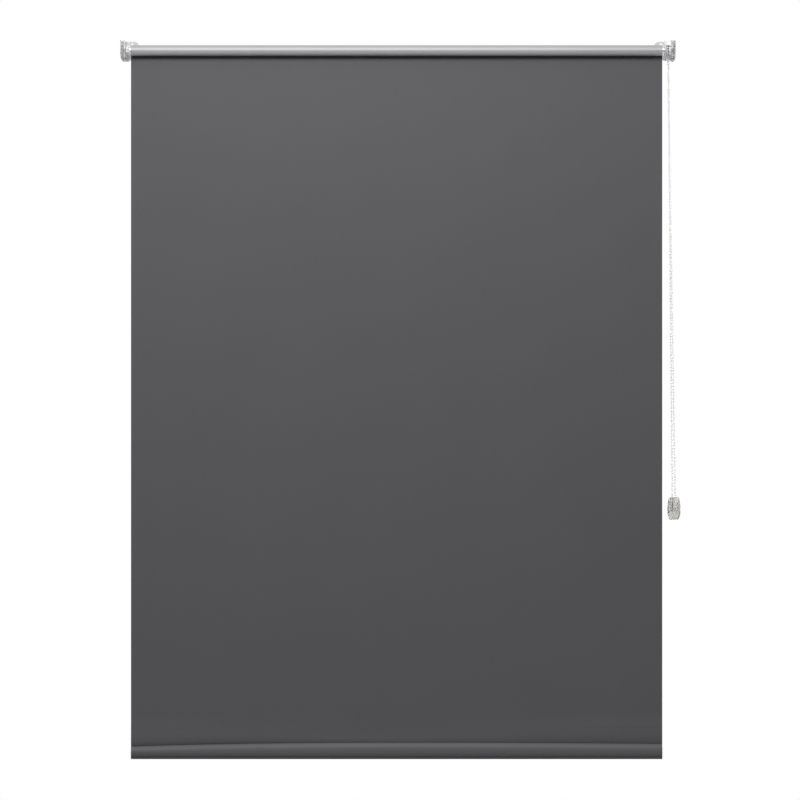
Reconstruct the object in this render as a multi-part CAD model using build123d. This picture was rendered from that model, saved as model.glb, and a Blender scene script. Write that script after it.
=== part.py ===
from build123d import *
import math
import os

# Roller blind, chain operated. +X runs to the right along the roller, +Z up, and the wall is the
# plane y = 0, with the room on the -Y side. The origin is the middle of the four wall screws:
# on the wall, halfway along the fabric, at the height of the roller's axis.

# Overall sizes
fabric_width = 1020.0
hem_drop = 1360.0  # roller axis down to the lower edge of the hem
chain_drop = 880.0  # roller axis down to the pin in the chain's pendant

# Fabric
fabric_thickness = 0.4
layers_when_down = 3.6
panel_clearance = 0.35  # between the wound roll and the top of the hanging panel

# Tube
tube_radius = 9.0
tube_wall = 1.0
tube_past_fabric_left = 2.0
tube_past_fabric_right = 3.6
plug_clearance = 0.05
running_clearance = 0.06
seat_gap = 0.02  # between two pieces that are pressed or wound together

# Hem
hem_height = 29.0
seam_height = 3.0
seam_overlap = 0.8  # of the double layer into the pocket's wall, so that the two join
bar_height = 20.0
bar_depth = 8.6
bar_wall = 1.2
bar_inset = 2.0  # the bar stops this far inside each side edge of the fabric
pocket_clearance = 0.1  # between the bar and the pocket, front and back

# Brackets
flange_thickness = 3.0
flange_half_height = 18.0
flange_reach = 15.0  # inboard of the fabric's edge
flange_corner = 9.0
screw_inset = 2.0  # inboard of the fabric's edge
screw_half_spacing = 13.0
screw_hole_radius = 2.25
cheek_lip = 1.568  # outside the chain housing's radius
cheek_plate = 3.0
left_cheek_width = 9.5
right_cheek_width = 8.0
lug_bottom = 7.0
lug_top = 18.4
lug_front = 14.0  # in front of the roller's axis
lug_wall = 1.6
ear_height = 1.0
socket_boss_radius = 6.0
socket_boss_height = 2.2
cradle_inset = 0.4  # inside the cheek's radius
cradle_wall = 1.6
cradle_reach = 7.0
cover_wall = 1.4
cover_slope = 9.5  # from the rim in to the flat middle
cover_gap = 0.3
cover_peg_radius = 1.3
cover_peg_inset = 4.5  # inside the cheek's radius
cover_peg_depth = 2.0
cover_peg_angles = (180, 235, 305)  # degrees, 0 is towards the wall and 90 is up
cradle_start = 195.0
cradle_end = 345.0
nub_radius = 1.8
nub_height = 0.8
nub_below_axis = 5.0
nub_before_axis = 4.0
cut_over = 1.0  # how far a cutting shape runs past what it cuts

# Idle end
idle_head_length = 7.5
idle_head_lip = 1.2  # outside the tube's radius
idle_flange = 1.5
idle_neck_radius = 6.5
idle_end_plate = 1.2
idle_rib_count = 8
idle_spring_turns = 7
idle_barrel_length = 26.0
idle_bore_radius = 4.5
idle_cap_thickness = 2.0
idle_end_wall = 3.0  # of the barrel, beyond the head
idle_pin_radius = 2.5
idle_pin_travel = 6.0
idle_pin_engagement = 5.9  # into the left cheek
idle_collar_radius = 4.35
idle_collar = 1.6
idle_collar_gap = 0.12
idle_pin_past_stop = 2.5  # left between the pin and the cap when the pin is pushed right in
idle_pin_round = 1.0
idle_wire_radius = 0.35
spring_gap = 0.05
idle_coil_radius = 3.45
end_play = 0.5

# Chain and chain wheel
ball_radius = 2.25
ball_pitch = 6.0
pocket_count = 14
pocket_gap = 0.1
wheel_lip = 0.9  # of the chain wheel outside the balls' centres
wheel_side = 2.05  # of the chain wheel on each side of the balls
string_slot_gap = 0.3
string_radius = 0.7
pendant_side_offset = 11.3  # the loop hangs a little outwards, away from the fabric
pendant_twist = 45.0  # degrees that the loop has twisted by the time it reaches the pendant

# Chain housing
housing_lip = 2.3  # outside the guard
housing_from_flange = 0.568
housing_wall = 1.4
guard_clearance = 0.8  # over the balls
guard_wall = 1.6
guard_start = -8.0  # degrees, 0 is towards the wall and 90 is up
guard_end = 150.0
side_gap = 0.3

# Drive end
core_radius = 3.9
core_length = 47.0
core_head = 2.7
core_barb = 0.6
core_slot = 1.2
core_slot_length = 8.1
key_width = 9.0
key_height = 5.0
key_clearance = 0.05
hub_wall = 2.0
hub_gap = 0.2  # between the wheel's hub and the drive plug's bore
hub_length = 17.0
drive_flange = 0.7
drive_end_wall = 3.7
drive_end_gap = 0.1  # between the core's head and the plug
drive_rib_setback = 1.5
brake_wire_radius = 0.4
brake_turns = 6
brake_pitch = 2.15  # wire radii from one turn to the next
brake_gap = 0.1  # between the springs and the core
brake_from_wall = 1.0
plug_body_gap = 0.4  # between a plug's body and the tube, bridged by its ribs
rib_width = 1.6
rib_count = 4

# Pendant
pendant_width = 26.0
pendant_depth = 12.0
pendant_above_pin = 23.0
pendant_below_pin = 20.0
pendant_pin_turn = 4.2  # from the pin's axis to the chain's string
pendant_upper_inset = 1.0
pendant_upper_height = 0.55  # share of the height above the pin
pendant_belly_drop = 2.0
pendant_lower_inset = 1.4
pendant_lower_height = 0.66  # share of the height below the pin
pendant_foot_inset = 5.5
pendant_edge = 1.8
pendant_foot = 4.0
pendant_wall = 2.0
notch_depth = 6.0
notch_spare = 1.0
pin_gap = 0.1
pin_socket_depth = 1.2
pin_end_gap = 0.05
ball_clearance = 0.35

# What follows from the sizes above
half_width = fabric_width / 2
plug_body_radius = tube_radius - tube_wall - plug_body_gap
plug_rib_radius = tube_radius - tube_wall - plug_clearance
idle_head_radius = tube_radius + idle_head_lip
hub_radius = core_radius + hub_wall
drive_bore_radius = hub_radius + hub_gap
core_head_radius = core_radius + core_barb
roll_radius = tube_radius + layers_when_down * fabric_thickness
pitch_radius = ball_pitch / (2 * math.sin(math.pi / pocket_count))
guard_inner = pitch_radius + ball_radius + guard_clearance
housing_radius = guard_inner + guard_wall + housing_lip
axis_from_wall = housing_radius + housing_from_flange + flange_thickness
panel_y = -axis_from_wall + roll_radius - fabric_thickness / 2
cheek_radius = housing_radius + cheek_lip
cradle_radius = cheek_radius - cradle_inset
cover_peg_circle = cheek_radius - cover_peg_inset
cover_flat_radius = cheek_radius - cover_slope
tube_left = -half_width - tube_past_fabric_left
tube_right = half_width + tube_past_fabric_right
idle_face = tube_left - plug_clearance
idle_head_end = idle_face - idle_head_length
left_cheek = idle_head_end - end_play
drive_face = tube_right + plug_clearance
housing_left = drive_face + drive_flange + side_gap
sprocket_left = housing_left + housing_wall + side_gap
sprocket_width = 2 * (ball_radius + wheel_side)
sprocket_right = sprocket_left + sprocket_width
housing_cap_left = sprocket_right + side_gap
right_cheek = housing_cap_left + housing_wall + side_gap
chain_x = (sprocket_left + sprocket_right) / 2

os.makedirs("parts", exist_ok=True)


def save(name, solid):
    solid.label = name
    export_step(solid, f"parts/{name}.step")


# Side views are drawn on this plane: local x is +Y and local y is +Z, from the roller's axis.
def side_plane(x):
    return Plane(origin=(x, -axis_from_wall, 0), x_dir=(0, 1, 0), z_dir=(1, 0, 0))


def rod(x0, x1, radius):
    return extrude(side_plane(min(x0, x1)) * Circle(radius), abs(x1 - x0))


def ring(x0, x1, outer, inner):
    return extrude(side_plane(min(x0, x1)) * (Circle(outer) - Circle(inner)), abs(x1 - x0))


def block(x0, x1, y0, y1, z0, z1):
    size = Box(abs(x1 - x0), abs(y1 - y0), abs(z1 - z0))
    return Pos((x0 + x1) / 2, (y0 + y1) / 2, (z0 + z1) / 2) * size


# Part of a ring between two angles, 0 towards the wall and 90 up.
def ring_sector(x0, x1, outer, inner, start, end):
    far = 2 * outer
    half_angle = math.radians(end - start) / 2
    wedge = [(far * math.cos(step * half_angle), far * math.sin(step * half_angle)) for step in range(3)]
    wedge = make_face(Polyline((0, 0), *wedge, close=True))
    face = (Circle(outer) - Circle(inner)) & (Rot(0, 0, start) * wedge)
    return extrude(side_plane(min(x0, x1)) * face, abs(x1 - x0))


# A rib that stands out of a round body, along X.
def rib(x0, x1, inner, outer, width, angle):
    face = Rot(0, 0, angle) * Pos((inner + outer) / 2, 0) * Rectangle(outer - inner, width)
    return extrude(side_plane(min(x0, x1)) * face, abs(x1 - x0))


# A coil of round wire round the roller's axis.
def coil(x0, x1, radius, wire, turns):
    path = Helix(
        pitch=(x1 - x0) / turns,
        height=x1 - x0,
        radius=radius,
        center=(x0, -axis_from_wall, 0),
        direction=(1, 0, 0),
    )
    section = Plane(origin=path @ 0, z_dir=path % 0) * Circle(wire)
    return sweep(section, path, is_frenet=True)


# Brackets: a flange on the wall, a cheek across the roller's end and a clip lug on top.
def bracket(side, inner, width):
    plate_outer = inner + side * cheek_plate
    outer = inner + side * width
    front = -axis_from_wall - lug_front
    flange_inner = side * (half_width - flange_reach)
    flange = block(flange_inner, plate_outer, -flange_thickness, 0, -flange_half_height, flange_half_height)
    inboard = flange.edges().filter_by(Axis.Y).group_by(Axis.X)[0 if side > 0 else -1]
    flange = fillet(inboard, flange_corner)
    for z in (-screw_half_spacing, screw_half_spacing):
        hole = Pos(side * (half_width - screw_inset), -flange_thickness / 2, z) * Rot(90, 0, 0)
        flange -= hole * Cylinder(screw_hole_radius, 2 * flange_thickness)
    plate = rod(inner, plate_outer, cheek_radius)
    plate += block(inner, plate_outer, -axis_from_wall, 0, -flange_half_height, lug_top)
    plate -= block(
        inner - side * cut_over,
        plate_outer + side * cut_over,
        front - cheek_radius,
        cut_over,
        lug_top,
        lug_top + cheek_radius,
    )
    lug = block(inner, outer, front, 0, lug_bottom, lug_top)
    lug = fillet(lug.edges().filter_by(Axis.X).group_by(Axis.Y)[0], lug_wall)
    pocket = block(
        plate_outer,
        outer + side * cut_over,
        front + lug_wall,
        -flange_thickness,
        lug_bottom + lug_wall,
        lug_top - lug_wall,
    )
    body = flange + plate + lug - pocket
    for ear_x in (inner, outer - side * lug_wall):
        body += block(
            ear_x,
            ear_x + side * lug_wall,
            front + 2 * lug_wall,
            -axis_from_wall,
            lug_top - lug_wall,
            lug_top + ear_height,
        )
    for angle in cover_peg_angles:
        at = side_plane(min(inner, plate_outer)) * Rot(0, 0, angle) * Pos(cover_peg_circle, 0)
        body -= extrude(at * Circle(cover_peg_radius + running_clearance), cheek_plate)
    body += rod(plate_outer, plate_outer + side * socket_boss_height, socket_boss_radius)
    return body


left_bracket = bracket(-1, left_cheek, left_cheek_width)
left_bracket += ring_sector(
    left_cheek,
    left_cheek + cradle_reach,
    cradle_radius,
    cradle_radius - cradle_wall,
    cradle_start,
    cradle_end,
)
left_bracket -= rod(
    left_cheek + cut_over,
    left_cheek - cheek_plate - socket_boss_height - cut_over,
    idle_pin_radius + running_clearance,
)
save("left_bracket", left_bracket)

right_bracket = bracket(1, right_cheek, right_cheek_width)
key_hole = Rectangle(key_width + 2 * key_clearance, key_height + 2 * key_clearance)
right_bracket -= extrude(
    side_plane(right_cheek - cut_over) * key_hole,
    cheek_plate + socket_boss_height + 2 * cut_over,
)
save("right_bracket", right_bracket)


# Covers: a shallow dome on the outside of the cheek, flat in the middle, on three pegs.
def cover(side, inner, width):
    seat = inner + side * cheek_plate
    outer = inner + side * width

    # The dome's arc leaves the flat middle smoothly and ends on the rim.
    def dome(rim, flat, start, crown):
        depth = abs(crown - start)
        arc_radius = (depth**2 + (rim - flat) ** 2) / (2 * depth)
        half_turn = math.asin((rim - flat) / arc_radius) / 2
        bulge_x = crown - side * arc_radius * (1 - math.cos(half_turn))
        bulge_radius = flat + arc_radius * math.sin(half_turn)
        outline = Polyline((start, rim), (start, 0), (crown, 0), (crown, flat))
        outline += ThreePointArc((crown, flat), (bulge_x, bulge_radius), (start, rim))
        return Pos(0, -axis_from_wall, 0) * revolve(make_face(outline), Axis.X)

    shell = dome(cheek_radius, cover_flat_radius, seat, outer)
    hollow_flat = cover_flat_radius - cover_wall / 2
    body = shell - dome(cheek_radius - cover_wall, hollow_flat, seat, outer - side * cover_wall)
    peg_end = seat - side * cover_peg_depth
    for angle in cover_peg_angles:
        at = side_plane(min(peg_end, outer)) * Rot(0, 0, angle) * Pos(cover_peg_circle, 0)
        peg = extrude(at * Circle(cover_peg_radius), cover_peg_depth + abs(outer - seat))
        body += peg & (shell + rod(peg_end, seat, cheek_radius))
    body -= block(
        peg_end - side * cut_over,
        outer + side * cut_over,
        -axis_from_wall - cheek_radius - cut_over,
        -axis_from_wall + cheek_radius + cut_over,
        lug_bottom - cover_gap,
        cheek_radius + cut_over,
    )
    return body


left_cover = cover(-1, left_cheek, left_cheek_width)
nub_place = side_plane(left_cheek - left_cheek_width - nub_height) * Pos(-nub_before_axis, -nub_below_axis)
left_cover += extrude(nub_place * Circle(nub_radius), nub_height + cover_wall / 2)
save("left_bracket_cover", left_cover)
save("right_bracket_cover", cover(1, right_cheek, right_cheek_width))

# Chain housing: a side plate with the guard over the top half of the chain wheel, and a cap.
housing = ring(housing_left, housing_left + housing_wall, housing_radius, hub_radius + 2 * side_gap)
housing += ring_sector(
    housing_left + housing_wall / 2,
    housing_cap_left,
    guard_inner + guard_wall,
    guard_inner,
    guard_start,
    guard_end,
)
save("chain_housing", housing)

cap = rod(housing_cap_left, housing_cap_left + housing_wall, housing_radius)
cap = fillet(cap.edges().filter_by(GeomType.CIRCLE).sort_by(Axis.X)[-1], housing_wall / 2)
cap -= extrude(side_plane(housing_cap_left - cut_over) * key_hole, housing_wall + 2 * cut_over)
save("chain_housing_cap", cap)

# Drive core: the fixed axle, keyed in the right cheek, with a split snap head at its inner end.
core_inner = housing_cap_left - core_length
core = rod(core_inner, housing_cap_left, core_radius)
core += rod(core_inner, core_inner + core_head, core_head_radius)
core = chamfer(core.edges().filter_by(GeomType.CIRCLE).sort_by(Axis.X)[0], core_barb)
core -= block(
    core_inner - cut_over,
    core_inner + core_slot_length,
    -axis_from_wall - 2 * core_head_radius,
    -axis_from_wall + 2 * core_head_radius,
    -core_slot / 2,
    core_slot / 2,
)
key = Rectangle(key_width, key_height)
key_length = 2 * housing_wall + cheek_plate + side_gap
core += extrude(side_plane(housing_cap_left) * key, key_length)
save("drive_core", core)

# Roller tube and the turns of fabric on it
save("roller_tube", ring(tube_left, tube_right, tube_radius, tube_radius - tube_wall))
save("fabric_roll", ring(-half_width, half_width, roll_radius, tube_radius + seat_gap))

# Idle plug: ribbed head outside the tube, ribbed barrel inside it, stepped bore for the pin.
barrel_end = idle_face + idle_barrel_length
idle = rod(idle_face, barrel_end, plug_body_radius)
idle += rod(idle_face - idle_flange, idle_face, idle_head_radius)
idle += rod(idle_head_end, idle_face, idle_neck_radius)
idle += rod(idle_head_end, idle_head_end + idle_end_plate, idle_head_radius - 2)
for index in range(idle_rib_count):
    angle = 360 / idle_rib_count * (index + 0.5)
    idle += rib(idle_head_end, idle_face, idle_bore_radius, idle_head_radius - 0.8, rib_width, angle)
for index in range(rib_count):
    angle = 360 / rib_count * index
    idle += rib(idle_face, barrel_end - 2, idle_neck_radius, plug_rib_radius, rib_width, angle)
spring_seat = idle_face + idle_end_wall
idle -= rod(idle_head_end - cut_over, barrel_end + cut_over, idle_pin_radius + running_clearance)
idle -= rod(spring_seat, barrel_end + cut_over, idle_bore_radius)
save("idle_plug", idle)
cap_inner = barrel_end - idle_cap_thickness
save("idle_plug_cap", rod(cap_inner, barrel_end, idle_bore_radius - seat_gap))

# Idle pin: its tip stands in the left cheek, and its collar is pushed by the spring.
collar_left = spring_seat + idle_collar_gap
collar_right = collar_left + idle_collar
pin_end = cap_inner - idle_pin_travel - idle_pin_past_stop
idle_pin = rod(left_cheek - idle_pin_engagement, pin_end, idle_pin_radius)
idle_pin = fillet(idle_pin.edges().filter_by(GeomType.CIRCLE).sort_by(Axis.X)[0], idle_pin_round)
idle_pin += rod(collar_left, collar_right, idle_collar_radius)
save("idle_pin", idle_pin)
save(
    "idle_spring",
    coil(
        collar_right + idle_wire_radius + spring_gap,
        cap_inner - idle_wire_radius - spring_gap,
        idle_coil_radius,
        idle_wire_radius,
        idle_spring_turns,
    ),
)

# Drive plug: turns on the core, ribs in the tube, a bore that holds the clutch springs.
drive_inner = core_inner + core_head + drive_end_gap
drive = rod(drive_inner, drive_face, plug_body_radius)
drive += rod(drive_face, drive_face + drive_flange, tube_radius)
for index in range(rib_count):
    angle = 360 / rib_count * index
    rib_inner = (drive_bore_radius + plug_body_radius) / 2
    drive += rib(drive_inner + drive_rib_setback, drive_face, rib_inner, plug_rib_radius, rib_width, angle)
drive_open = drive_face + drive_flange + cut_over
drive -= rod(drive_inner - cut_over, drive_open, core_radius + running_clearance)
drive -= rod(drive_inner + drive_end_wall, drive_open, drive_bore_radius)
save("drive_plug", drive)

# Chain wheel: one pocket for each ball, and a slot between them for the chain's string.
sprocket = rod(sprocket_left, sprocket_right, pitch_radius + wheel_lip)
sprocket += rod(sprocket_left - hub_length, sprocket_left, hub_radius)
sprocket -= rod(
    sprocket_left - hub_length - cut_over,
    sprocket_right + cut_over,
    core_radius + running_clearance,
)
slot_half = string_radius + string_slot_gap
sprocket -= ring(
    chain_x - slot_half,
    chain_x + slot_half,
    pitch_radius + wheel_lip + cut_over,
    pitch_radius - slot_half,
)
for index in range(pocket_count):
    angle = math.radians(90 + 360 / pocket_count * index)
    y = -axis_from_wall + pitch_radius * math.cos(angle)
    sprocket -= Pos(chain_x, y, pitch_radius * math.sin(angle)) * Sphere(ball_radius + pocket_gap)
save("sprocket", sprocket)

# Clutch springs: close-wound on the core, inside the drive plug's bore, beyond the wheel's hub.
brake_length = brake_turns * brake_pitch * brake_wire_radius
brake_radius = core_radius + brake_gap + brake_wire_radius
brake_start = drive_inner + drive_end_wall + brake_from_wall
save(
    "brake_spring_inner",
    coil(brake_start, brake_start + brake_length, brake_radius, brake_wire_radius, brake_turns),
)
brake_start_outer = brake_start + brake_length + 3 * brake_wire_radius
save(
    "brake_spring_outer",
    coil(brake_start_outer, brake_start_outer + brake_length, brake_radius, brake_wire_radius, brake_turns),
)

# Hanging fabric: from just below the roll, behind it, down to the hem's seam.
roll_core = roll_radius - fabric_thickness
panel_top = -math.sqrt((roll_radius + panel_clearance) ** 2 - roll_core**2)
seam_z = -hem_drop + hem_height
save(
    "fabric_panel",
    block(
        -half_width,
        half_width,
        panel_y - fabric_thickness / 2,
        panel_y + fabric_thickness / 2,
        seam_z,
        panel_top,
    ),
)


# Hem: an oval bar in a pocket of fabric, which closes in straight lines above it, and a short
# double layer up to the seam.
def oval(height, depth):
    return Ellipse(depth / 2, height / 2)


# An oval with the two straight lines that touch it and meet at a point above its middle.
def drop(height, depth, apex):
    touch_height = (height / 2) ** 2 / apex
    touch_half = depth / 2 * math.sqrt(1 - (2 * touch_height / height) ** 2)
    sides = Polyline((-touch_half, touch_height), (0, apex), (touch_half, touch_height), close=True)
    half_angle = math.atan(touch_half / (apex - touch_height))
    return oval(height, depth) + make_face(sides), half_angle


bar_to_outside = pocket_clearance + fabric_thickness
pocket_height = bar_height + 2 * bar_to_outside
pocket_depth = bar_depth + 2 * bar_to_outside
pocket_z = -hem_drop + pocket_height / 2
hem_plane = Plane(origin=(-half_width, panel_y, pocket_z), x_dir=(0, 1, 0), z_dir=(1, 0, 0))
apex = hem_height - seam_height - pocket_height / 2
outline, half_angle = drop(pocket_height, pocket_depth, apex)
inner_apex = apex - fabric_thickness / math.sin(half_angle)
hollow = drop(pocket_height - 2 * fabric_thickness, pocket_depth - 2 * fabric_thickness, inner_apex)[0]
seam_reach = seam_height + seam_overlap
seam_face = Rectangle(2 * fabric_thickness, seam_reach)
outline += Pos(0, apex + seam_height - seam_reach / 2) * seam_face
save("hem_pocket", extrude(hem_plane * (outline - hollow), fabric_width))
bar_face = oval(bar_height, bar_depth) - oval(bar_height - 2 * bar_wall, bar_depth - 2 * bar_wall)
save("hem_bar", extrude(hem_plane.offset(bar_inset) * bar_face, fabric_width - 2 * bar_inset))

# Pendant: two clear shells round the lower turn of the chain. Local x runs from one strand to the
# other, local y is up and the shells part on the plane z = 0.
pendant_x = chain_x + pendant_side_offset
twist = math.radians(pendant_twist)
across = (math.sin(twist), math.cos(twist), 0)
facing = (math.cos(twist), -math.sin(twist), 0)
pendant_plane = Plane(origin=(pendant_x, -axis_from_wall, -chain_drop), x_dir=across, z_dir=facing)
mouth_half = pendant_pin_turn + ball_radius + ball_clearance
half_pendant = pendant_width / 2
shoulder = (mouth_half + pendant_wall, pendant_above_pin)
upper_side = (half_pendant - pendant_upper_inset, pendant_above_pin * pendant_upper_height)
belly = (half_pendant, -pendant_belly_drop)
lower_side = (half_pendant - pendant_lower_inset, -pendant_below_pin * pendant_lower_height)
foot = (half_pendant - pendant_foot_inset, -pendant_below_pin)
silhouette = Line((-shoulder[0], shoulder[1]), shoulder) + Line((-foot[0], foot[1]), foot)
for sign in (1, -1):
    points = [(sign * x, y) for x, y in (shoulder, upper_side, belly, lower_side, foot)]
    silhouette += ThreePointArc(points[0], points[1], points[2])
    silhouette += ThreePointArc(points[2], points[3], points[4])
pendant_face = make_face(silhouette)
pendant_face = fillet(pendant_face.vertices().group_by(Axis.Y)[0], pendant_foot)
pendant_face = fillet(pendant_face.vertices().group_by(Axis.Y)[-1], pendant_edge)
channel_half = ball_radius + ball_clearance
channel_top = pendant_above_pin + cut_over
channel_face = Pos(0, channel_top / 2) * Rectangle(2 * mouth_half, channel_top) + Circle(mouth_half)
notch_half = pendant_pin_turn + notch_spare
notch_face = Pos(0, pendant_above_pin) * Rectangle(2 * notch_half, 2 * notch_depth)
notch_face += Pos(0, pendant_above_pin - notch_depth) * Circle(notch_half)
pin_radius = pendant_pin_turn - ball_radius - pin_gap
for name, sign in (("pendant_front_shell", 1), ("pendant_rear_shell", -1)):
    shell = extrude(pendant_plane * pendant_face, sign * pendant_depth / 2)
    outer_face = shell.faces().sort_by(Axis(pendant_plane.origin, facing))[-1 if sign > 0 else 0]
    shell = fillet(outer_face.edges(), pendant_edge)
    shell -= extrude(pendant_plane * channel_face, sign * channel_half)
    shell -= extrude(pendant_plane * notch_face, sign * pendant_depth)
    pin_socket = pendant_plane * Circle(pin_radius + seat_gap)
    shell -= extrude(pin_socket, sign * (channel_half + pin_socket_depth))
    save(name, shell)
pin_half_length = channel_half + pin_socket_depth - pin_end_gap
save("pendant_pin", extrude(pendant_plane * Circle(pin_radius), pin_half_length, both=True))

# Ball chain: its string, as one closed round over the chain wheel, down the front strand, round
# the pendant's pin and up the back strand.
corner = pitch_radius * math.tan(math.pi / 8)


# A point on a strand, from its tangent point on the wheel (0) to the one on the pendant's pin (1).
def strand_point(sign, z):
    top = Vector(chain_x, -axis_from_wall + sign * pitch_radius, 0)
    turn = Vector(*across) * (sign * pendant_pin_turn)
    bottom = Vector(pendant_x, -axis_from_wall, -chain_drop) + turn
    return top + (bottom - top) * (z / -chain_drop)


# Half of the round: from the top of the wheel down one strand to the bottom of the pin.
def half_route(sign):
    lowest = -chain_drop - pendant_pin_turn
    return [
        Vector(chain_x, -axis_from_wall, pitch_radius),
        Vector(chain_x, -axis_from_wall + sign * corner, pitch_radius),
        strand_point(sign, corner),
        strand_point(sign, lowest),
        (strand_point(-1, lowest) + strand_point(1, lowest)) / 2,
    ]


wheel_round = 0.9 * pitch_radius  # just under what the corners leave room for
radii = [wheel_round, wheel_round, 0.95 * pendant_pin_turn]
string = Part()
string_length = 0
for sign in (-1, 1):
    half_path = FilletPolyline(*half_route(sign), radius=radii)
    section = Plane(origin=half_path @ 0, z_dir=half_path % 0) * Circle(string_radius)
    string += sweep(section, half_path)
    string_length += half_path.length
save("bead_chain", string)
print("chain radii", [round(radius, 2) for radius in radii])
print("chain length", round(string_length, 1), "balls", round(string_length / ball_pitch))
section_area = math.pi * string_radius**2
print("chain volume / section x length", round(string.volume / (section_area * string_length), 4))
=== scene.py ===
import math
import bpy
import numpy as np
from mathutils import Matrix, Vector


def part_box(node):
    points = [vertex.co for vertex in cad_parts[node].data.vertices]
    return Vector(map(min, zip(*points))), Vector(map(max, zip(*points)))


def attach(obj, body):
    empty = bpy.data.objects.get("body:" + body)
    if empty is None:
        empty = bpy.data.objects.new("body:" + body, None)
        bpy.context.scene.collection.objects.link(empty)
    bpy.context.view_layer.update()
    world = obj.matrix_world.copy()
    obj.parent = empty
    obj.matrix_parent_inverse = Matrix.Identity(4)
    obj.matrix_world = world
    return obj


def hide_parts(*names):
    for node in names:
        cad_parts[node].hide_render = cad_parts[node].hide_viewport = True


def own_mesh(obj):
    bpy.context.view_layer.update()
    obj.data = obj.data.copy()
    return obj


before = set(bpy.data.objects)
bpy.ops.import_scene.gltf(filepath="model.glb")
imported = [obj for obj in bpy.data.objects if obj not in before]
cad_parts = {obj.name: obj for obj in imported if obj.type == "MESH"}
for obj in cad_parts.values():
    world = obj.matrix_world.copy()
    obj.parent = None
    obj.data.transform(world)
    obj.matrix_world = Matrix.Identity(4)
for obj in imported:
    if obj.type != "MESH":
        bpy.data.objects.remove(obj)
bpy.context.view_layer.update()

print("frame loaded")

# Roller blind in its fixed frame: +Z up, the wall is the plane y = 0 and the room is on the -Y side.
# Lengths are metres.
rollerAxis = (-0.024, 0.0)  # y and z of the roller's axis
clothHalfWidth = 0.51
clothThickness = 0.0004
clothY = -0.01376  # middle of the hanging cloth

# ---- camera, light and floor ----

camera = {
    "lens": 281.25,
    "sensor": 36.0,
    "place": (0.0065, -12.0138, -0.6704),
}
eye = bpy.data.objects.new("camera", bpy.data.cameras.new("camera"))
eye.data.lens = camera["lens"]
eye.data.sensor_width = camera["sensor"]
eye.location = camera["place"]
eye.rotation_euler = (math.pi / 2, 0, 0)
bpy.context.scene.collection.objects.link(eye)
bpy.context.scene.camera = eye
bpy.context.scene.view_settings.view_transform = "Standard"


class Value:
    # A socket in a node tree. Its sums, differences, products and sine are Math nodes.
    def __init__(self, recipe, socket):
        self.recipe = recipe
        self.socket = socket

    def output(self, name):
        return Value(self.recipe, self.socket.node.outputs[name])

    def math(self, operation, *terms):
        return self.recipe.math(operation, self, *terms)

    def __add__(self, other):
        return self.math("ADD", other)

    def __radd__(self, other):
        return self.math("ADD", other)

    def __sub__(self, other):
        return self.math("SUBTRACT", other)

    def __rsub__(self, other):
        return self.recipe.math("SUBTRACT", other, self)

    def __mul__(self, other):
        return self.math("MULTIPLY", other)

    def __rmul__(self, other):
        return self.math("MULTIPLY", other)

    def sine(self):
        return self.math("SINE")


class Recipe:
    # A node tree that is filled one node at a time: its type, its settings, then its sockets.
    def __init__(self, tree):
        self.tree = tree

    def feed(self, socket, value):
        if isinstance(value, Value):
            self.tree.links.new(value.socket, socket)
        else:
            socket.default_value = value

    def node(self, kind, settings=None, sockets=None, output=0):
        made = self.tree.nodes.new(kind)
        for name, value in (settings or {}).items():
            if name == "stops":
                for index, (position, level) in enumerate(value):
                    stops = made.color_ramp.elements
                    stop = stops[index] if index < len(stops) else stops.new(position)
                    stop.position = position
                    stop.color = level
            else:
                setattr(made, name, value)
        for key, value in (sockets or {}).items():
            self.feed(made.inputs[key], value)
        return Value(self, made.outputs[output])

    def math(self, operation, *terms):
        return self.node("ShaderNodeMath", {"operation": operation}, dict(enumerate(terms)))

    # Goes from one colour to another as share rises from 0 to 1.
    def mix(self, first, second, share):
        colours = [c if isinstance(c, Value) else (*c, 1) for c in (first, second)]
        sockets = {0: share, 6: colours[0], 7: colours[1]}
        return self.node("ShaderNodeMix", {"data_type": "RGBA"}, sockets, output=2)


class Finish(Recipe):
    # A material: one Principled shader with its uniform values, and what varies fed in afterwards.
    def __init__(self, name, **uniform):
        self.material = bpy.data.materials.new(name)
        self.material.use_nodes = True
        super().__init__(self.material.node_tree)
        self.shader = self.tree.nodes["Principled BSDF"]
        for key, value in uniform.items():
            self.shader.inputs[key].default_value = value

    def vary(self, **sockets):
        for key, value in sockets.items():
            self.feed(self.shader.inputs[key], value)

    def bump(self, height, distance, strength=1.0):
        sockets = {"Height": height, "Distance": distance, "Strength": strength}
        return self.node("ShaderNodeBump", {}, sockets)

    def noise(self, place, scale, detail=2.0):
        return self.node("ShaderNodeTexNoise", {}, {"Vector": place, "Scale": scale, "Detail": detail})

    def stretched(self, place, scale):
        return self.node("ShaderNodeMapping", {}, {"Vector": place, "Scale": scale})


studio = {
    "backdrop": 1.0,
    "behind": 1.0,
    "levels": [
        (0.0, 0.06),
        (0.35, 0.08),
        (0.48, 0.12),
        (0.56, 0.18),
        (0.70, 0.44),
        (0.85, 0.70),
        (1.0, 0.80),
    ],
    "keyPlace": (-0.3, -1.9, 0.98),
    "keyAim": (0.0, 0.0, -0.6),
    "keySize": (1.8, 0.7),
    "keyPower": 38.0,
    "floorHeight": -1.5,
    "floorHalfWidth": 2.2,
    "floorFront": -3.0,
    "floorBack": 0.3,
    "floorTone": (0.8, 0.8, 0.8, 1),
    "floorRoughness": 0.8,
}


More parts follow.
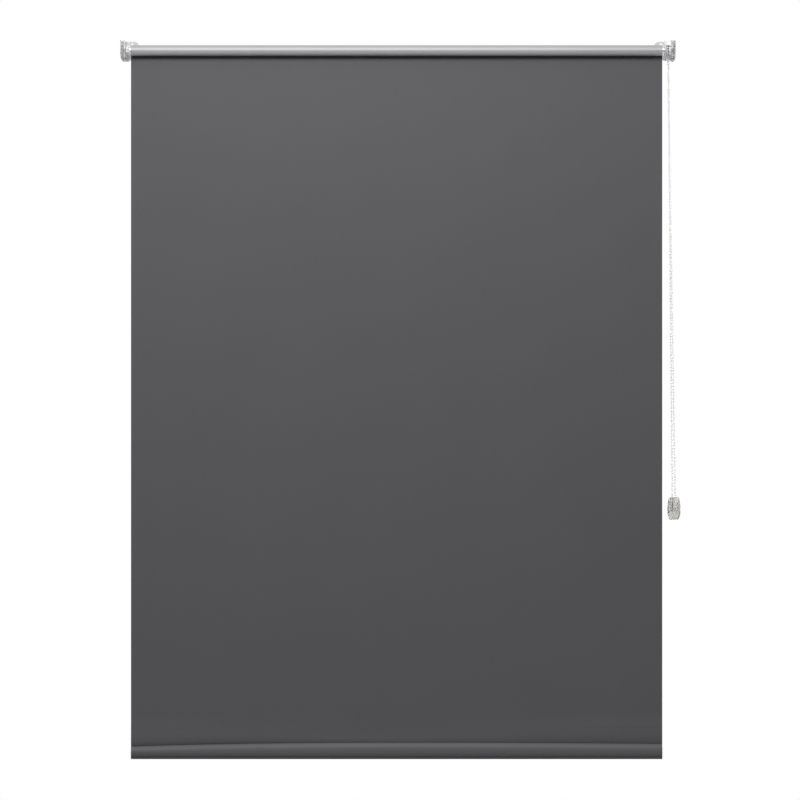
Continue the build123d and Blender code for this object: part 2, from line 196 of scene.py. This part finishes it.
# The room's brightness grows with height in front of the blind, from straight down (0) to straight
# up (1), and is even behind it, where it shines through clear pieces. The backdrop is plain white.
def makeWorld():
    world = bpy.data.worlds.new("studio")
    bpy.context.scene.world = world
    world.use_nodes = True
    sky = Recipe(world.node_tree)
    direction = sky.node("ShaderNodeTexCoord").output("Generated")
    parts = sky.node("ShaderNodeSeparateXYZ", {}, {0: direction})
    stops = [(position, (level, level, level, 1)) for position, level in studio["levels"]]
    room = sky.node("ShaderNodeValToRGB", {"stops": stops}, {0: parts.output("Z") * 0.5 + 0.5})
    behind = sky.math("GREATER_THAN", parts.output("Y"), 0.0)
    seen = sky.node("ShaderNodeLightPath")
    light = sky.mix(room, (studio["behind"],) * 3, behind)
    light = sky.mix(light, (studio["backdrop"],) * 3, seen)
    sky.feed(world.node_tree.nodes["Background"].inputs["Color"], light)


makeWorld()
lamp = bpy.data.objects.new("key", bpy.data.lights.new("key", "AREA"))
lamp.data.shape = "RECTANGLE"
lamp.data.size, lamp.data.size_y = studio["keySize"]
lamp.data.energy = studio["keyPower"]
lamp.location = studio["keyPlace"]
lamp.visible_camera = False
aim = np.subtract(studio["keyAim"], studio["keyPlace"])
lamp.rotation_euler = (math.atan2(aim[1], -aim[2]), 0, 0)
bpy.context.scene.collection.objects.link(lamp)
print("camera and light made")


sharpEdge = math.radians(50)  # where two faces meet at more than this, the shading breaks


# Puts points and quads into a new object. The faces are turned over if the volume they enclose,
# a sixth of the sum of every face's corner products, comes out negative.
def makePiece(name, points, quads, finishes, finishOf=None, cloth=None):
    points = np.asarray(points, float).reshape(-1, 3)
    a, b, c, d = (points[quads[:, corner]] for corner in range(4))
    products = (a * (np.cross(b, c) + np.cross(c, d))).sum()
    if products < 0:
        quads = quads[:, ::-1]
    mesh = bpy.data.meshes.new(name)
    mesh.from_pydata(points.tolist(), [], quads.tolist())
    for finish in finishes:
        mesh.materials.append(finish.material)
    mesh.polygons.foreach_set("use_smooth", np.ones(len(quads), bool))
    mesh.set_sharp_from_angle(angle=sharpEdge)
    if finishOf is not None:
        mesh.polygons.foreach_set("material_index", finishOf.astype(np.int32))
    if cloth is not None:
        layer = mesh.uv_layers.new(name="cloth")
        layer.data.foreach_set("uv", cloth[quads.ravel()].astype(np.float32).ravel())
    mesh.update()
    piece = bpy.data.objects.new(name, mesh)
    bpy.context.scene.collection.objects.link(piece)
    return piece


# The quads between the points of a grid of rows and columns.
def gridQuads(grid):
    corners = (grid[:-1, :-1], grid[:-1, 1:], grid[1:, 1:], grid[1:, :-1])
    return np.stack([corner.ravel() for corner in corners], axis=1)


# A sheet of cloth as one closed shell: its middle surface moved half a thickness along the normals
# to each side, and a rim round the four edges. The normal is the cross product of the directions
# down the rows and along the columns. The cloth's own coordinates are metres along both, and start
# where the neighbouring piece ends.
def makeCloth(name, middle, thickness, outside, inside, start=0.0, sense=1.0):
    down = np.gradient(middle, axis=0)
    across = np.gradient(middle, axis=1)
    normal = np.cross(down, across)
    normal /= np.linalg.norm(normal, axis=2, keepdims=True)
    points = np.concatenate([middle + normal * thickness / 2, middle - normal * thickness / 2])
    rows, columns = middle.shape[:2]
    count = rows * columns
    grid = np.arange(count).reshape(rows, columns)
    face = gridQuads(grid)
    edge = np.concatenate([grid[0, :-1], grid[:-1, -1], grid[-1, :0:-1], grid[:0:-1, 0]])
    after = np.roll(edge, -1)
    rim = np.stack([after, edge, edge + count, after + count], axis=1)
    quads = np.concatenate([face, face[:, ::-1] + count, rim])
    finishOf = np.repeat([0, 1, 0], [len(face), len(face), len(rim)])
    steps = np.linalg.norm(np.diff(middle[:, columns // 2], axis=0), axis=1)
    along = start + sense * np.concatenate([[0], np.cumsum(steps)])
    cloth = np.stack([middle[:, :, 0], np.broadcast_to(along[:, None], (rows, columns))], axis=2)
    cloth = np.concatenate([cloth.reshape(-1, 2)] * 2)
    return makePiece(name, points, quads, [outside, inside], finishOf, cloth)


# A unit ball from a cube whose sides are cut into squares and pushed out to the same radius.
def roundCube(cuts):
    line = np.tan(np.linspace(-1, 1, cuts + 1) * math.pi / 4)
    first, second = np.meshgrid(line, line, indexing="ij")
    ones = np.ones_like(first)
    sides = [
        (ones, first, second),
        (-ones, second, first),
        (second, ones, first),
        (first, -ones, second),
        (first, second, ones),
        (second, first, -ones),
    ]
    points = np.concatenate([np.stack(side, axis=2).reshape(-1, 3) for side in sides])
    square = gridQuads(np.arange((cuts + 1) ** 2).reshape(cuts + 1, cuts + 1))
    quads = np.concatenate([square + index * (cuts + 1) ** 2 for index in range(6)])
    merged, place = np.unique(np.round(points, 6), axis=0, return_inverse=True)
    merged /= np.linalg.norm(merged, axis=1, keepdims=True)
    return merged, place.reshape(-1)[quads]


# Copies of one small shape at many places, as one mesh.
def scatter(name, shape, quads, places, finishes):
    points = places[:, None, :] + shape[None, :, :]
    steps = np.arange(len(places)) * shape.shape[0]
    return makePiece(name, points, (steps[:, None, None] + quads[None]).reshape(-1, 4), finishes)


floorX = studio["floorHalfWidth"] * np.array([-1, 1, 1, -1])
floorY = np.array([studio["floorFront"]] * 2 + [studio["floorBack"]] * 2)
floorPoints = np.stack([floorX, floorY, np.full(4, studio["floorHeight"])], axis=1)
floorUniform = {"Base Color": studio["floorTone"], "Roughness": studio["floorRoughness"]}
floorFinish = Finish("floorPaint", **floorUniform)
floor = makePiece("floor", floorPoints, np.array([[0, 1, 2, 3]]), [floorFinish])
floor.visible_diffuse = False  # it takes shadows, and throws no light back up at the hem

# ---- finishes ----

weave = {
    "thread": 0.00045,
    "warpStretch": (900, 25, 1),
    "weftStretch": (25, 900, 1),
    "cloudStretch": (6, 4, 1),
    "cloudDetail": 3.0,
    "threadShare": 0.5,
    "cloudShare": 0.35,
    "bump": 0.00004,
}
roomSide = {
    "dark": (0.110, 0.110, 0.117),
    "light": (0.138, 0.138, 0.146),
    "crossingShare": 0.22,
    "lift": 0.08,
    "roughness": 0.38,
    "threadRoughness": 0.16,
    "crossingBump": 0.5,
    "bumpStrength": 0.5,
    "uniform": {"Specular IOR Level": 0.25, "Sheen Weight": 0.03, "Sheen Roughness": 0.45},
}
backSide = {
    "dark": (0.42, 0.42, 0.43),
    "light": (0.52, 0.52, 0.53),
    "crossingShare": 0.15,
    "lift": 0.0,
    "roughness": 0.54,
    "threadRoughness": 0.12,
    "crossingBump": 0.4,
    "bumpStrength": 0.25,
    "uniform": {"Metallic": 0.65},
}


# Plain weave: the product of one sine along the warp and one along the weft stands up where a
# thread lies on top. Noise drawn out along each direction gives uneven threads.
def wovenCloth(name, look):
    finish = Finish(name, **look["uniform"])
    place = finish.node("ShaderNodeUVMap", {"uv_map": "cloth"})
    parts = finish.node("ShaderNodeSeparateXYZ", {}, {0: place})
    turn = math.pi / weave["thread"]
    height = (parts * turn).sine() * (parts.output("Y") * turn).sine()
    warp = finish.noise(finish.stretched(place, weave["warpStretch"]), 1.0)
    weft = finish.noise(finish.stretched(place, weave["weftStretch"]), 1.0)
    cloud = finish.noise(finish.stretched(place, weave["cloudStretch"]), 1.0, weave["cloudDetail"])
    threads = (warp + weft) * 0.5
    share = height * look["crossingShare"] + threads * weave["threadShare"]
    share = share + cloud * weave["cloudShare"] + look["lift"]
    relief = height * look["crossingBump"] + threads
    finish.vary(**{"Base Color": finish.mix(look["dark"], look["light"], share)})
    finish.vary(Roughness=look["roughness"] + threads * look["threadRoughness"])
    finish.vary(Normal=finish.bump(relief, weave["bump"], look["bumpStrength"]))
    return finish


cloth = wovenCloth("anthraciteCloth", roomSide)
silver = wovenCloth("silverCoating", backSide)

sewing = {
    "dark": (0.05, 0.05, 0.054),
    "light": (0.09, 0.09, 0.095),
    "plyPace": 9000,
    "roughness": 0.6,
    "plyRoughness": 0.05,
    "bump": 0.00005,
    "bumpStrength": 0.5,
    "uniform": {"Sheen Weight": 0.2},
}
thread = Finish("sewingThread", **sewing["uniform"])
threadPlace = thread.node("ShaderNodeTexCoord").output("Object")
ply = (thread.node("ShaderNodeSeparateXYZ", {}, {0: threadPlace}) * sewing["plyPace"]).sine()
thread.vary(**{"Base Color": thread.mix(sewing["dark"], sewing["light"], ply * 0.5 + 0.5)})
thread.vary(Roughness=sewing["roughness"] + ply * sewing["plyRoughness"])
thread.vary(Normal=thread.bump(ply, sewing["bump"], sewing["bumpStrength"]))

moulding = {
    "cloudScale": 60.0,
    "cloudDetail": 3.0,
    "skinScale": 1400.0,
    "glossSpread": 0.08,
    "bumpStrength": 0.4,
}
plastics = {
    "clearPlastic": {
        "dark": (0.74, 0.73, 0.73),
        "light": (0.84, 0.83, 0.83),
        "gloss": 0.14,
        "grain": 0.00003,
        "uniform": {"Transmission Weight": 0.65, "IOR": 1.46},
    },
    "pendantPlastic": {
        "dark": (0.82, 0.81, 0.79),
        "light": (0.92, 0.91, 0.89),
        "gloss": 0.08,
        "grain": 0.00003,
        "uniform": {"Transmission Weight": 0.9, "IOR": 1.46},
    },
    "whitePlastic": {
        "dark": (0.80, 0.80, 0.83),
        "light": (0.88, 0.88, 0.91),
        "gloss": 0.3,
        "grain": 0.00003,
        "uniform": {},
    },
    "greyPlastic": {
        "dark": (0.40, 0.39, 0.38),
        "light": (0.48, 0.47, 0.46),
        "gloss": 0.3,
        "grain": 0.00003,
        "uniform": {},
    },
    "chainPlastic": {
        "dark": (0.96, 0.96, 0.96),
        "light": (0.99, 0.99, 0.99),
        "gloss": 0.35,
        "grain": 0.00002,
        "uniform": {"Transmission Weight": 0.9, "IOR": 1.2},
    },
}


# Moulded plastic: faint cloudy tone, a fine orange-peel surface and uneven gloss.
def mouldedPlastic(name, look):
    finish = Finish(name, **look["uniform"])
    place = finish.node("ShaderNodeTexCoord").output("Object")
    cloud = finish.noise(place, moulding["cloudScale"], moulding["cloudDetail"])
    skin = finish.noise(place, moulding["skinScale"])
    finish.vary(**{"Base Color": finish.mix(look["dark"], look["light"], cloud)})
    finish.vary(Roughness=look["gloss"] + cloud * moulding["glossSpread"])
    finish.vary(Normal=finish.bump(skin, look["grain"], moulding["bumpStrength"]))
    return finish


drawing = {
    "streakDetail": 3.0,
    "glossSpread": 0.15,
    "bump": 0.00002,
    "bumpStrength": 0.5,
}
metals = {
    "aluminium": {
        "dark": (0.70, 0.71, 0.72),
        "light": (0.86, 0.87, 0.88),
        "gloss": 0.22,
        "stretch": (12, 1500, 1500),
    },
    "springSteel": {
        "dark": (0.38, 0.38, 0.39),
        "light": (0.58, 0.58, 0.60),
        "gloss": 0.25,
        "stretch": (700, 700, 700),
    },
}


# Metal: tone and gloss in streaks, drawn out along X on the aluminium.
def drawnMetal(name, look):
    finish = Finish(name, Metallic=1.0)
    place = finish.node("ShaderNodeTexCoord").output("Object")
    streak = finish.noise(finish.stretched(place, look["stretch"]), 1.0, drawing["streakDetail"])
    finish.vary(**{"Base Color": finish.mix(look["dark"], look["light"], streak)})
    finish.vary(Roughness=look["gloss"] + streak * drawing["glossSpread"])
    finish.vary(Normal=finish.bump(streak, drawing["bump"], drawing["bumpStrength"]))
    return finish


finishes = {name: mouldedPlastic(name, look) for name, look in plastics.items()}
finishes.update({name: drawnMetal(name, look) for name, look in metals.items()})
nodeFinishes = {
    "left_bracket": "clearPlastic",
    "right_bracket": "clearPlastic",
    "left_bracket_cover": "clearPlastic",
    "right_bracket_cover": "clearPlastic",
    "chain_housing": "whitePlastic",
    "chain_housing_cap": "whitePlastic",
    "drive_core": "whitePlastic",
    "drive_plug": "greyPlastic",
    "sprocket": "whitePlastic",
    "idle_plug": "whitePlastic",
    "idle_plug_cap": "whitePlastic",
    "idle_pin": "whitePlastic",
    "pendant_front_shell": "pendantPlastic",
    "pendant_rear_shell": "pendantPlastic",
    "pendant_pin": "chainPlastic",
    "roller_tube": "aluminium",
    "hem_bar": "aluminium",
    "brake_spring_inner": "springSteel",
    "brake_spring_outer": "springSteel",
}
for nodeName, finishName in nodeFinishes.items():
    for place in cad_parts[nodeName].material_slots:
        place.material = finishes[finishName].material
print("finishes made")

# ---- spring behind the idle pin ----

spring = {
    "turns": 7,
    "radius": 0.00345,
    "wire": 0.00035,
    "stepsPerTurn": 24,
    "gap": 0.00005,
    "travel": 0.006,
}
wireSides = 8


# A round wire along a helix about the roller's axis: at the angle t the wire's middle is at
# start + (pitch * t / 2 pi, radius * cos t, radius * sin t). Each ring of the wire is drawn with the
# outward direction and the direction square to both that and the helix.
def springSurface(start, end, middleY, middleZ):
    steps = spring["stepsPerTurn"] * spring["turns"]
    t = np.linspace(0, 2 * math.pi * spring["turns"], steps + 1)[:, None]
    pitch = (end - start) / t[-1, 0]
    outward = np.concatenate([np.zeros_like(t), np.cos(t), np.sin(t)], axis=1)
    middle = outward * spring["radius"] + [0, middleY, middleZ]
    middle[:, 0] = start + pitch * t[:, 0]
    turning = np.concatenate([np.zeros_like(t), -np.sin(t), np.cos(t)], axis=1)
    slope = turning * spring["radius"] + [pitch, 0, 0]
    slope /= np.linalg.norm(slope, axis=1, keepdims=True)
    square = np.cross(slope, outward)
    around = np.arange(wireSides)[:, None] * 2 * math.pi / wireSides
    ring = np.cos(around) * outward[:, None, :] + np.sin(around) * square[:, None, :]
    return middle[:, None, :] + ring * spring["wire"]


springLow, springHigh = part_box("idle_spring")
springEnds = springLow.x + spring["wire"], springHigh.x - spring["wire"]
springMiddle = (springLow + springHigh) / 2
springRings = springSurface(*springEnds, springMiddle.y, springMiddle.z)
springGrid = np.arange(len(springRings) * wireSides).reshape(-1, wireSides)
springGrid = np.concatenate([springGrid, springGrid[:, :1]], axis=1)
capCorners = np.array([[0, 1, 2, 3], [0, 3, 4, 7], [7, 4, 5, 6]])  # three quads close eight sides
springCaps = [springGrid[0][capCorners], springGrid[-1][capCorners[:, ::-1]]]
springQuads = np.concatenate([gridQuads(springGrid), *springCaps])
idleCoil = makePiece("idleCoil", springRings, springQuads, [finishes["springSteel"]])
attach(idleCoil, "roller")
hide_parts("idle_spring")
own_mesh(idleCoil)
print("spring made")

# ---- chain: its string, and a ball at every pitch ----

chain = {
    "stringRadius": 0.0007,
    "ballRadius": 0.00225,
    "balls": 303,
    "length": 1.8163,
    "stepsPerSpan": 16,
    "ballCuts": 3,
    "route": [
        (0.52065, -0.024, 0.01348),
        (0.52065, -0.029585, 0.01348),
        (0.52060, -0.03755, 0.005585),
        (0.52070, -0.03742, -0.005585),
        (0.52894, -0.02702, -0.8758),
        (0.52902, -0.02692, -0.8842),
        (0.53499, -0.02108, -0.8842),
        (0.53485, -0.02098, -0.8758),
        (0.52074, -0.010585, -0.005585),
        (0.52056, -0.01045, 0.005585),
        (0.52065, -0.018415, 0.01348),
        (0.52065, -0.024, 0.01348),
    ],
}
routeCurve = bpy.data.curves.new("chainString", "CURVE")
routeCurve.dimensions = "3D"
routeCurve.resolution_u = chain["stepsPerSpan"]
spline = routeCurve.splines.new("NURBS")
spline.points.add(len(chain["route"]) - 1)
spline.points.foreach_set("co", np.array([(*point, 1) for point in chain["route"]]).ravel())
spline.order_u = 3
spline.use_endpoint_u = True
chainString = bpy.data.objects.new("chainString", routeCurve)
bpy.context.scene.collection.objects.link(chainString)

lineMesh = bpy.data.meshes.new_from_object(chainString)
line = np.zeros(len(lineMesh.vertices) * 3)
lineMesh.vertices.foreach_get("co", line)
line = line.reshape(-1, 3)
bpy.data.meshes.remove(lineMesh)
reached = np.concatenate([[0], np.cumsum(np.linalg.norm(np.diff(line, axis=0), axis=1))])
stops = np.arange(chain["balls"]) * reached[-1] / chain["balls"]
ballPlaces = np.stack([np.interp(stops, reached, line[:, axis]) for axis in range(3)], axis=1)
print("chain line", round(reached[-1], 4), "m, pitch", round(reached[-1] / chain["balls"], 5))

routeCurve.bevel_depth = chain["stringRadius"]
routeCurve.bevel_resolution = 2
routeCurve.use_fill_caps = True
routeCurve.materials.append(finishes["chainPlastic"].material)
ballShape, ballQuads = roundCube(chain["ballCuts"])
ballShape = ballShape * chain["ballRadius"]
chainBalls = scatter("chainBalls", ballShape, ballQuads, ballPlaces, [finishes["chainPlastic"]])
for piece in (chainString, chainBalls):
    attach(piece, "chain")
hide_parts("bead_chain")
print("chain made")

# ---- hanging cloth ----

panel = {
    "bottom": -1.275,
    "rows": 150,
    "columns": 120,
    "wave": 0.0005,
    "slow": (7.3, 0.8, 3.1, 0.4),
    "quick": (0.5, 15.0, 2.0),
    "fine": (0.3, 31.0, -5.0, 1.0),
}
acrossPanel = np.linspace(-clothHalfWidth, clothHalfWidth, panel["columns"])
downPanel = np.linspace(0, panel["bottom"], panel["rows"])


# Almost flat: three long waves a few tenths of a millimetre deep, which die out at the roll and
# at the hem, where the cloth is held straight. The slow one is sin(a x + b) cos(c z + d), and the
# quick and the fine one are share * sin(a x + b z) and share * cos(a x + b z + c).
def panelSurface(x, z):
    held = np.sin(math.pi * z / panel["bottom"]) ** 2
    a, b, c, d = panel["slow"]
    slow = np.sin(a * x + b) * np.cos(c * z + d)
    share, a, b = panel["quick"]
    quick = share * np.sin(a * x + b * z)
    share, a, b, c = panel["fine"]
    fine = share * np.cos(a * x + b * z + c)
    return clothY - panel["wave"] * held * (slow + quick + fine)


x, z = np.meshgrid(acrossPanel, downPanel)
middle = np.stack([x, panelSurface(x, z), z], axis=2)
blindPanel = makeCloth("blindPanel", middle, clothThickness, cloth, silver)
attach(blindPanel, "root")
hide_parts("fabric_panel")
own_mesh(blindPanel)
print("hanging cloth made")

# ---- cloth wound on the tube ----

turns = {
    "outerRadius": 0.01024,
    "layer": 0.0004,
    "cloth": 0.00037,
    "count": 2.6,
    "rows": 200,
    "columns": 60,
    "creep": 0.00025,
    "creepPace": 1.7,
    "creepStart": 0.3,
}
turnAngle = np.linspace(0, 2 * math.pi * turns["count"], turns["rows"])
acrossTurns = np.linspace(-1, 1, turns["columns"])


# A spiral: the radius falls by one layer a turn, from the back of the roller up over its top.
# The side edges creep by a fraction of a millimetre from turn to turn.
def turnSurface(side, angle):
    radius = turns["outerRadius"] - turns["layer"] * angle / (2 * math.pi)
    creep = turns["creep"] * (0.5 + 0.5 * np.sin(turns["creepPace"] * angle + side))
    edge = clothHalfWidth - creep * (angle > turns["creepStart"])
    y = rollerAxis[0] + radius * np.cos(angle)
    return np.stack([side * edge, y, rollerAxis[1] + radius * np.sin(angle)], axis=2)


side, angle = np.meshgrid(acrossTurns, turnAngle)
turnMiddle = turnSurface(side, angle)
fabricTurns = makeCloth("fabricTurns", turnMiddle, turns["cloth"], silver, cloth, sense=-1.0)
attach(fabricTurns, "roller")
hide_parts("fabric_roll")

# ---- hem: the cloth folded round the bar and sewn ----

hem = {
    "seam": -1.3285,
    "barMiddle": -1.3495,
    "barHalfHeight": 0.0103,
    "bowLeft": 0.0072,
    "bowRight": 0.0025,
    "bowPower": 2.2,
    "barHalfDepth": 0.0046,
    "frontHalfDepth": 0.0082,
    "frontPower": 1.25,
    "flap": 0.004,
    "layerGap": 0.00045,
    "aboveRows": 36,
    "wallRows": 16,
    "roundRows": 72,
    "flapRows": 6,
    "columns": 161,
    "bulgeAt": (-0.45, 0.0, 0.45),
    "bulge": (0.0026, 0.0009, 0.0023),
    "bulgeLength": (0.013, 0.006, 0.016),
    "ease": 0.022,
}
acrossHem = np.linspace(-clothHalfWidth, clothHalfWidth, hem["columns"])
# The seam bows down towards both side edges by bow * (|x| / half width) ** bowPower.
bow = np.where(acrossHem < 0, hem["bowLeft"], hem["bowRight"])
seamLine = hem["seam"] - bow * (np.abs(acrossHem) / clothHalfWidth) ** hem["bowPower"]


# Above the seam the cloth leans forward by bulge * (d / length) * exp(1 - d / length), where d is
# the height above the seam, and comes back to the flat cloth at its top edge. Below the seam its
# front goes from the seam down to the height of the bar's middle and on to its underside, with a
# depth of frontHalfDepth * sin(t) ** frontPower. It goes round the bar and up the back to where a
# straight line from the seam touches the bar, at the angle whose cosine is the oval's half height
# over the seam's height above its middle, and ends in a short flap behind the seam.
def hemSurface():
    d = np.linspace(1, 0, hem["aboveRows"])[:, None] * (panel["bottom"] - seamLine)
    size = np.interp(acrossHem, hem["bulgeAt"], hem["bulge"])
    length = np.interp(acrossHem, hem["bulgeAt"], hem["bulgeLength"])
    ease = np.clip((d[0] - d) / hem["ease"], 0, 1)
    ease = ease**2 * (3 - 2 * ease)
    frontY = clothY - size * (d / length) * np.exp(1 - d / length) * ease
    frontZ = seamLine + d

    apex = seamLine - hem["barMiddle"]
    touch = np.arccos(hem["barHalfHeight"] / apex)
    turn = np.linspace(0, 1, hem["roundRows"])[:, None]
    t = turn * (2 * math.pi - touch)
    front = t < math.pi
    halfHeight = np.where(front & (np.cos(t) > 0), apex, hem["barHalfHeight"])
    halfDepth = np.where(front, hem["frontHalfDepth"], hem["barHalfDepth"])
    fullness = np.where(front, hem["frontPower"], 1.0)
    forward = np.sign(np.sin(t)) * np.abs(np.sin(t)) ** fullness
    roundY = clothY - halfDepth * forward + hem["layerGap"] * turn
    roundZ = hem["barMiddle"] + halfHeight * np.cos(t)

    part = np.linspace(0, 1, hem["wallRows"] + 1)[:-1, None]
    backY = clothY + hem["layerGap"]
    upY = backY + part[::-1] * (roundY[-1] - backY)
    upZ = seamLine + part[::-1] * (roundZ[-1] - seamLine)

    flapZ = seamLine + np.linspace(0, hem["flap"], hem["flapRows"])[1:, None]
    flapY = np.full_like(flapZ, backY)
    y = np.concatenate([frontY[:-1], roundY, upY, flapY])
    z = np.concatenate([frontZ[:-1], roundZ, upZ, flapZ])
    return np.stack([np.broadcast_to(acrossHem, y.shape), y, z], axis=2)


hemMiddle = hemSurface()
hemCloth = makeCloth("hemCloth", hemMiddle, clothThickness, cloth, silver, start=-panel["bottom"])
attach(hemCloth, "hem")
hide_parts("hem_pocket")

stitch = {
    "length": 0.0026,
    "pitch": 0.0032,
    "radius": 0.00018,
    "sideGap": 0.0032,
    "standsOut": 0.00006,
    "aboveSeam": 0.0004,
    "cuts": 2,
}
stitchShape, stitchQuads = roundCube(stitch["cuts"])
stitchShape = stitchShape * [stitch["length"] / 2, stitch["radius"], stitch["radius"]]
sewnHalfWidth = clothHalfWidth - stitch["sideGap"]
stitchX = np.arange(-sewnHalfWidth, sewnHalfWidth, stitch["pitch"])
stitchZ = np.interp(stitchX, acrossHem, seamLine) + stitch["aboveSeam"]
outFromCloth = clothThickness / 2 + stitch["standsOut"]
frontY = np.full_like(stitchX, clothY - outFromCloth)
backY = np.full_like(stitchX, clothY + hem["layerGap"] + outFromCloth)
stitchRows = [np.stack([stitchX, y, stitchZ], axis=1) for y in (frontY, backY)]
stitchPlaces = np.concatenate(stitchRows)
hemStitches = scatter("hemStitches", stitchShape, stitchQuads, stitchPlaces, [thread])
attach(hemStitches, "hem")
